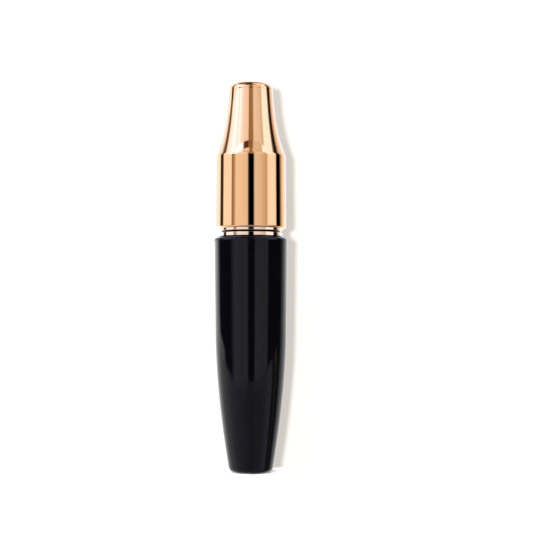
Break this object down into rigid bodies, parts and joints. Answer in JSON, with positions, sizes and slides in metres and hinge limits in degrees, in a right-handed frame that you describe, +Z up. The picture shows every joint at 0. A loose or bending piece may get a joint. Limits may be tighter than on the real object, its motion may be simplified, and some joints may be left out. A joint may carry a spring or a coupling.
{
  "type": "mascara tube",
  "caption": "Tall tapered cosmetic bottle with a waisted screw cap carrying a stem and brush that dips through a wiper into the reservoir.",
  "frame": {"origin": "centre of the flat ring the tube stands on", "axes": "+Z up along the tube's axis, from the foot to the top of the cap; X and Y are any two square directions across it"},
  "size_m": [0.023, 0.023, 0.1214],
  "materials": {
    "gloss_black_plastic": "high gloss",
    "rose_gold_plating": "mirror, vacuum metallised",
    "natural_plastic": "natural, translucent",
    "soft_wiper_plastic": "soft, natural",
    "gasket_foam": "fine closed-cell foam",
    "label_film": "matt film, blank",
    "weight_steel": "turned",
    "wire_steel": "drawn and twisted",
    "satin_black_plastic": "satin",
    "bristle_nylon": "fine black fibre"
  },
  "bodies": {
    "bottle": {"outer_bottle": "gloss_black_plastic", "inner_vial": "natural_plastic", "neck_collar": "rose_gold_plating", "wiper": "soft_wiper_plastic", "base_label": "label_film"},
    "gasket": {"stem_gasket": "gasket_foam"},
    "weight": {"cap_weight": "weight_steel"},
    "cap": {"outer_cap_shell": "rose_gold_plating", "inner_cap": "natural_plastic", "wand_stem": "satin_black_plastic", "brush_wire": "wire_steel", "brush_bristles": "bristle_nylon"}
  },
  "joints": [
    {"name": "wand_pull", "type": "slide", "parent": "bottle", "child": "gasket", "axis": [0, 0, 1], "range_m": [0, 0.08], "deforming": ["brush_bristles"]},
    {"name": "cap_rise", "type": "slide", "parent": "gasket", "child": "weight", "axis": [0, 0, 1], "range_m": [0, 0.0045]},
    {"name": "cap_turn", "type": "hinge", "parent": "weight", "child": "cap", "pos_m": [0, 0, 0.085], "axis": [0, 0, 1], "range_deg": [0, 540]}
  ],
  "couplings": [
    {"joint": "cap_rise", "follows": "cap_turn", "m_per_rad": 0.00047746}
  ]
}
